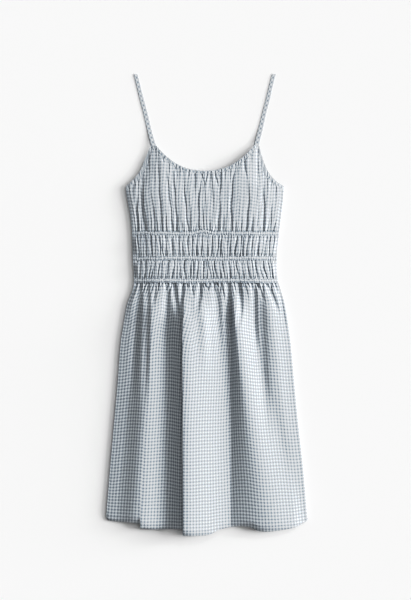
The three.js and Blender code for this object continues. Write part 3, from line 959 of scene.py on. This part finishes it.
def bodice_height(u, x, y):
    """Height of the bodice over the table, with its creases and gathers."""
    above = y - BODICE_BOTTOM
    below = np.clip(bodice_top(across(u, BACK_TOP)) - y, 0, None)
    small = gathered(u, above, bodice_marks, BODICE_DEPTH, wide=0.4, lean=0.01, wander=0.0008)
    small += gathered(u, below, neck_marks, NECK_DEPTH, wide=0.45, lean=0.008)
    small += gathered(u, above, bodice_ruffles, RUFFLE_DEPTH)
    small += gathered(u, below, neck_ruffles, NECK_RUFFLE_DEPTH)
    deep = CREASE_SHARE * creased(x, y, BODICE_CREASES, wander=0.6) + swells(u, y)
    return front_height(x, y) + (BODICE_RISE - small - deep) * side_fade(x, y)


def from_level_to_edge(u, low, high, v):
    """Points of the front that go straight up above the back's top edge, and follow the sides below it."""
    y = lerp(low, high, v)
    return np.where(y < BACK_TOP, across(u, y), across(u, BACK_TOP)), y


bodice_u = np.linspace(0, 1, 520)[None, :]
bodice_v = np.linspace(0, 1, 62)[:, None]
bodice_high = bodice_top(across(bodice_u, BACK_TOP)) + UNDER_SEAM * 0.7
bodice_x, bodice_y = from_level_to_edge(bodice_u, BODICE_BOTTOM - UNDER_SEAM, bodice_high, bodice_v)
bodice_fade = side_fade(bodice_x, bodice_y)
bodice_z = bodice_height(bodice_u, bodice_x, bodice_y) - tucked(bodice_y - BODICE_BOTTOM) * bodice_fade
moved = drift(bodice_u, 35, 1.6, (4, 11, 27)) * np.sin(np.pi * bodice_v) * bodice_fade
moved = moved + pulled(bodice_x, bodice_y)
bodice_front = np.stack([bodice_x, bodice_y + moved, bodice_z], axis=2)
panel("bodice_front", bodice_front, bodice_y, GATHERED_CLOTH, even=25)

levels = np.linspace(BODICE_BOTTOM - UNDER_SEAM, BACK_TOP - EDGE_CASING + 1, 26)[:, None]
panel("bodice_back", back_points(back_u, levels, levels - BODICE_BOTTOM, 41), levels, underside=True)

# %% [markdown]
# Each casing is a flat tube of the same cloth with elastic inside, stitched along both edges. The elastic
# gathers it into fine ticks that are deepest at the stitches. A rounded strip with pressed-in stitch lines
# shows all of that. A real one is two layers, but the lower one is never seen.

# %% Casings round the waist
STITCH_LINE = 2.6
STITCH_PRESS = 0.5
STITCH_PRESS_WIDTH = 1.15
CASING_SWELL = 0.9
TICK_DEPTH = 1.25
CASING_CUT = 1.28
LEAST_SIDE = 0.01


def casing_profile(w):
    """Height of a casing at w from -1 to 1 across it, with two pressed lines and round edges."""
    pressed = STITCH_PRESS * bump(np.abs(w) * CASING_HALF - STITCH_LINE, STITCH_PRESS_WIDTH)
    rounded = 1 - quarter_round((1 - np.abs(w)) / 0.25)
    return CASING_SWELL - pressed - rounded


def ticks(u, w, seed, count=120):
    """Depth of the fine gathers of a casing, which are deepest at the stitches."""
    near_stitch = 0.45 + 0.55 * bump(np.abs(w) * CASING_HALF - STITCH_LINE, 2.4)
    rng = np.random.default_rng(seed)
    leaning = u + 0.0012 * np.sin(w * 2 + 40 * u)
    marks = gathers(count, int(rng.integers(1000)), reach=(1, 1), uneven=0.4)
    total = 0
    for place, width, depth, phase in zip(marks["place"], marks["width"], marks["depth"], marks["phase"]):
        total += depth * (0.8 + 0.3 * np.sin(3 * w + phase)) * bump(leaning - place, 0.6 * width)
    return TICK_DEPTH * total * near_stitch


def on_the_bias(places):
    """The same places in cloth whose threads run at 45 degrees to the piece."""
    along, across_it = places[..., 0], places[..., 1]
    return np.stack([across_it - along, across_it + along], axis=-1) * math.sqrt(0.5)


def strip(node, points, length_scale, material, underside=False, bias=False):
    """A narrow gathered strip of cloth. Its rows run along it, and its cut is longer than it lies."""
    rows = len(points)
    over = so_far(np.linalg.norm(np.diff(points[rows // 2], axis=0), axis=1))
    width = surface_area(points) / over[-1] * np.linspace(0, 1, rows)
    over *= length_scale
    places = np.stack(np.broadcast_arrays(over[None, :], width[:, None]), axis=2) * MM
    if bias:
        places = on_the_bias(places)
    made = mesh_object(f"{node}_cloth", points, places, material, underside)
    thicken(made)
    flat = (max(float(over[-1]) * MM, LEAST_SIDE), max(float(width[-1]) * MM, LEAST_SIDE))
    declare(made, node, flat)


casing_u = np.linspace(0, 1, 520)[None, :]
casing_w = np.concatenate([[-1, -0.97, -0.9], np.linspace(-0.8, 0.8, 13), [0.9, 0.97, 1]])[:, None]
CASINGS = table(
    "name y seed",
    ("low", CASING_LOW_Y, 51),
    ("mid", CASING_MID_Y, 52),
    ("top", CASING_TOP_Y, 53),
)


def casing_front_points(u, w, casing):
    y = casing["y"] + w * CASING_HALF
    x = across(u, y)
    fade = side_fade(x, y)
    height = front_height(x, y) + (casing_profile(w) - ticks(u, w, casing["seed"])) * fade
    moved = drift(u, casing["seed"], 0.6, (2, 7, 31)) + pulled(x, y)
    return np.stack([x, y + moved * fade, height], axis=2)


def casing_back_points(u, w, casing):
    y = casing["y"] + w * CASING_HALF
    x = across(u, y)
    edge = CASING_SWELL * (1 - quarter_round((1 - np.abs(w)) / 0.22))
    lift_off = back_height(x, y) + (0.5 * ticks(u, w, casing["seed"] + 9) + edge) * side_fade(x, y)
    return np.stack([x, y + 0 * x, lift_off], axis=2)


for casing in CASINGS:
    name = f"casing_{casing['name']}"
    points = casing_front_points(casing_u, casing_w, casing)
    strip(f"{name}_front", points, CASING_CUT, CASING_CLOTH)
    points = casing_back_points(casing_u[:, ::3], casing_w[::2], casing)
    strip(f"{name}_back", points, CASING_CUT, CASING_CLOTH, underside=True)

# %% [markdown]
# A narrower casing finishes the neckline, and the same strip runs down each armhole. They sit on the
# bodice's own edge, so they rise and fall with its gathers. A curved edge is bound with cloth cut on the
# bias, which bends without creasing, so its checks stand on their corners. The back has a straight one.

# %% Casings along the top edge
EDGE_PROUD = 0.3
EDGE_ROUND = 0.4
EDGE_TICKS = 1.1
EDGE_EVENNESS = 0.55
EDGE_CUT = 1.2


def edge_casing_points(u, w):
    column = across(u, BACK_TOP)
    bottom = top_edge(column) - edge_depth(column, EDGE_CASING)
    x, y = from_level_to_edge(u, bottom, top_edge(column), 0.5 + 0.5 * w)
    below = bodice_height(u, x, np.minimum(y, bottom - 1))
    plain = front_height(x, y) + side_fade(x, y)
    base = lerp(below, plain, EDGE_EVENNESS)
    round_edge = EDGE_ROUND * (1 - quarter_round((1 - np.abs(w)) / 0.12))
    height = base + (EDGE_PROUD - round_edge - EDGE_TICKS * ticks(u, w, 61, 106)) * side_fade(x, y)
    return np.stack([x, y, height], axis=2)


def place_of(x):
    return (x - left_edge(BACK_TOP)) / (right_edge(BACK_TOP) - left_edge(BACK_TOP))


left_ear = float(place_of(NECK["middle"] - NECK["half"] - STRAP_BASE / 2))
right_ear = float(place_of(NECK["middle"] + NECK["half"] + STRAP_BASE / 2))
edge_w = np.concatenate([[-1, -0.96, -0.88], np.linspace(-0.75, 0.75, 9), [0.88, 0.96, 1]])[:, None]
EDGES = table(
    "name from to columns",
    ("neck_casing", left_ear, right_ear, 420),
    ("armhole_casing_left", 0, left_ear, 110),
    ("armhole_casing_right", right_ear, 1, 110),
)
for edge in EDGES:
    edge_u = np.linspace(edge["from"], edge["to"], edge["columns"])[None, :]
    points = edge_casing_points(edge_u, edge_w)
    strip(edge["name"], points, EDGE_CUT, EDGE_CLOTH, bias=True)

half_edge = EDGE_CASING / 2
back_edge = {"y": BACK_TOP - half_edge, "seed": 65}
points = casing_back_points(casing_u[:, ::3], casing_w[::2] * half_edge / CASING_HALF, back_edge)
strip("back_edge_casing", points, CASING_CUT, CASING_CLOTH, underside=True)

# %% [markdown]
# Each strap is a narrow tube of cloth, sewn inside out, turned and pressed flat. It leaves the front where
# the neckline meets the armhole, folds over at the shoulder and runs back beneath to the back's top edge.
# It is cut on the bias, so its checks run slantwise: the places in the cloth are turned by 45 degrees.

# %% Straps
STRAP = {"base": 8.6, "top": 7, "thickness": 0.6, "height": 447, "fold": 0.22, "wobble": 0.25}
STRAP_HALF = 4
STRAP_LINES = table(
    "name base top seed",
    ("strap_left", -103.2, -138.2, 71),
    ("strap_right", 96.4, 130.3, 72),
)
STRAP_DESCENT = table(
    "past down",
    (0, 0),
    (12, 0.35),
    (28, 0.85),
    (45, 1),
    (90, 1),
)
descent = curve(STRAP_DESCENT, "past", "down")


def strap_route(line):
    """Middle line of a strap as y and z: over the front, round the fold and back beneath."""
    reach = STRAP["height"] - STRAP["fold"] - STRAP["thickness"] / 2
    lower = STRAP["thickness"] / 2
    upper = lower + 2 * STRAP["fold"]
    start = EAR_TOP - 2.5
    ear = float(front_height(line["base"], EAR_TOP)) + 0.2
    there = np.linspace(start, reach, 70, endpoint=False)
    turn = np.linspace(0, np.pi, 9)
    back = np.linspace(reach, BACK_TOP - 2, 60)[1:]
    y = np.concatenate([there, reach + STRAP["fold"] * np.sin(turn), back])
    over = lerp(ear, upper, descent(np.clip(there - EAR_TOP, 0, 90)))
    z = np.concatenate([over, lower + STRAP["fold"] * (1 + np.cos(turn)), np.full(len(back), lower)])
    return y, z


def squarish(wave, power):
    """A wave with flatter tops, the flatter the smaller the power."""
    return np.sign(wave) * np.abs(wave) ** power


def strap_mesh(line):
    y, z = strap_route(line)
    part = np.clip((y - EAR_TOP) / (STRAP["height"] - EAR_TOP), -0.7, 1)
    along_y, along_z = np.gradient(y), np.gradient(z)
    steep = np.hypot(along_y, along_z)
    rng = np.random.default_rng(line["seed"])
    wobble = STRAP["wobble"] * np.sin(np.arange(len(y)) / 5 + rng.uniform(0, 6))
    half = lerp(STRAP["base"], STRAP["top"], np.clip(part, 0, 1)) / 2 + wobble * 0.6
    middle = lerp(line["base"], line["top"], part) + wobble
    turn = np.linspace(0, 2 * np.pi, 25)
    side = squarish(np.cos(turn), 0.35)
    face = squarish(np.sin(turn), 0.6) * STRAP["thickness"] / 2 * (1 - 0.2 * bump(np.cos(turn), 0.5))
    x = middle[:, None] + half[:, None] * side
    away_y = y[:, None] - (along_z / steep)[:, None] * face
    away_z = z[:, None] + (along_y / steep)[:, None] * face
    run = so_far(np.hypot(np.diff(y), np.diff(z)))
    round_it = so_far(np.hypot(np.diff(side * STRAP_HALF), np.diff(face)))
    places = on_the_bias(np.stack(np.broadcast_arrays(run[:, None], round_it[None, :]), axis=2) * MM)
    made = mesh_object(f"{line['name']}_cloth", np.stack([x, away_y, away_z], axis=2), places, STRAP_CLOTH)
    flat = (float(round_it[-1]) * MM, float(run[-1]) * MM)
    declare(made, line["name"], flat)


for line in STRAP_LINES:
    strap_mesh(line)

# %% [markdown]
# Lockstitch shows as a row of short threads lying along the seam. One node tree lays them along any line,
# with the stitch's length, the space between and the thread's width as its inputs. They are real little
# threads, not a texture, so they cast a shadow. Each is slightly out of line, as the cloth pulls it.

# %% Stitches: the node tree


def socket_of(tree, name):
    return next(item.identifier for item in tree.interface.items_tree if item.name == name)


def stitch_tree():
    tree, entry, leave = new_group(
        "row of stitches",
        "GeometryNodeTree",
        [
            ("Line", "Geometry", None),
            ("Spacing", "Float", 3.2 * MM),
            ("Length", "Float", 2.4 * MM),
            ("Thread width", "Float", 0.35 * MM),
            ("Unevenness", "Float", 0.12),
            ("Seed", "Int", 1),
            ("Thread", "Material", None),
        ],
        [("Stitches", "Geometry")],
    )

    add = partial(add_node, tree)

    # Points along the line, one for each stitch
    line = add("GeometryNodeMeshToCurve", {"Mesh": entry["Line"]}).outputs["Curve"]
    spaced = {"Curve": line, "Length": entry["Spacing"]}
    points = add("GeometryNodeCurveToPoints", spaced, mode="LENGTH").outputs
    along = add("FunctionNodeAlignRotationToVector", {"Vector": points["Tangent"]}, axis="Z")

    # Each stitch is turned a little out of line
    negative = math_node(tree, "MULTIPLY", entry["Unevenness"], -1)
    limits = {0: negative, 1: entry["Unevenness"], "Seed": entry["Seed"]}
    turn = add("FunctionNodeRandomValue", limits, data_type="FLOAT_VECTOR").outputs[0]
    tilt = add("FunctionNodeEulerToRotation", {0: turn}).outputs[0]
    rotation = add("FunctionNodeRotateRotation", {0: along.outputs[0], 1: tilt}).outputs[0]

    # A stitch is a bead drawn out to the thread's width and the stitch's length
    bead = add("GeometryNodeMeshUVSphere", {"Segments": 6, "Rings": 4, "Radius": 0.5})
    width = entry["Thread width"]
    size = add("ShaderNodeCombineXYZ", {"X": width, "Y": width, "Z": entry["Length"]}).outputs[0]
    laid = {"Points": points["Points"], "Instance": bead.outputs[0], "Rotation": rotation, "Scale": size}
    placed = add("GeometryNodeInstanceOnPoints", laid).outputs[0]
    real = add("GeometryNodeRealizeInstances", {0: placed}).outputs[0]
    coloured = {"Geometry": real, "Material": entry["Thread"]}
    tree.links.new(add("GeometryNodeSetMaterial", coloured).outputs[0], leave["Stitches"])
    return tree


STITCHES = stitch_tree()


def sew(name, lines, seed):
    """One piece that holds the stitches along all the given lines, each a list of points in mm."""
    mesh = bpy.data.meshes.new(f"{name} lines")
    ends = np.cumsum([len(line) for line in lines])
    edges = [(i - 1, i) for i in range(1, ends[-1]) if i not in ends]
    mesh.from_pydata((np.concatenate(lines) * MM).tolist(), edges, [])
    holder = bpy.data.objects.new(name, mesh)
    bpy.context.collection.objects.link(holder)
    nodes = holder.modifiers.new("stitches", "NODES")
    nodes.node_group = STITCHES
    nodes[socket_of(STITCHES, "Seed")] = seed
    nodes[socket_of(STITCHES, "Thread")] = THREAD
    seen = holder.evaluated_get(bpy.context.evaluated_depsgraph_get())
    stitched = bpy.data.meshes.new_from_object(seen)
    holder.modifiers.remove(nodes)
    holder.data = stitched
    stitched.polygons.foreach_set("use_smooth", np.ones(len(stitched.polygons), bool))
    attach(holder, BODY)
    print(name, len(stitched.polygons) // 24, "stitches")


# %% [markdown]
# The casings have a row of stitches near each edge, front and back. The neckline, the armholes and the
# back's top edge have one row, and the hem is turned up and sewn once all round.

# %% Stitches: where they are
STITCH_OUT = 0.1
STITCH_SUNK = 0.12
STITCH_SIDES = (-STITCH_LINE / CASING_HALF, STITCH_LINE / CASING_HALF)
EDGE_STITCH = -0.6
HEM_TURN = 12


def line_on(points, out=STITCH_OUT):
    """The points of one row, moved out to lie on the cloth. Below it they sink in, as it rests on them."""
    line = points[0].copy()
    line[:, 2] += out
    return line


def front_line(w, casing):
    return line_on(casing_front_points(line_u, w, casing))


def back_line(w, casing):
    return line_on(casing_back_points(line_u, w, casing), STITCH_SUNK)


line_u = np.linspace(0.012, 0.988, 300)[None, :]
for casing in CASINGS:
    name = f"casing_{casing['name']}"
    sew(f"{name}_front_stitches", [front_line(w, casing) for w in STITCH_SIDES], casing["seed"])
    sew(f"{name}_back_stitches", [back_line(w, casing) for w in STITCH_SIDES], casing["seed"] + 4)
edge_lines = []
for edge in EDGES:
    margin = 0.02 * (edge["to"] - edge["from"])
    edge_line_u = np.linspace(edge["from"] + margin, edge["to"] - margin, 260)[None, :]
    edge_lines.append(line_on(edge_casing_points(edge_line_u, EDGE_STITCH)))
edge_lines.append(back_line(EDGE_STITCH * half_edge / CASING_HALF, back_edge))
sew("top_edge_stitches", edge_lines, 81)

hem_level = HEM_LEVEL + HEM_TURN
hem_back = back_points(line_u, hem_level, SKIRT_TOP - hem_level, 11, hem_drop(line_u, hem_level))
sew("hem_front_stitches", [line_on(skirt_front_points(line_u, hem_level))], 82)
sew("hem_back_stitches", [line_on(hem_back, STITCH_SUNK)], 83)
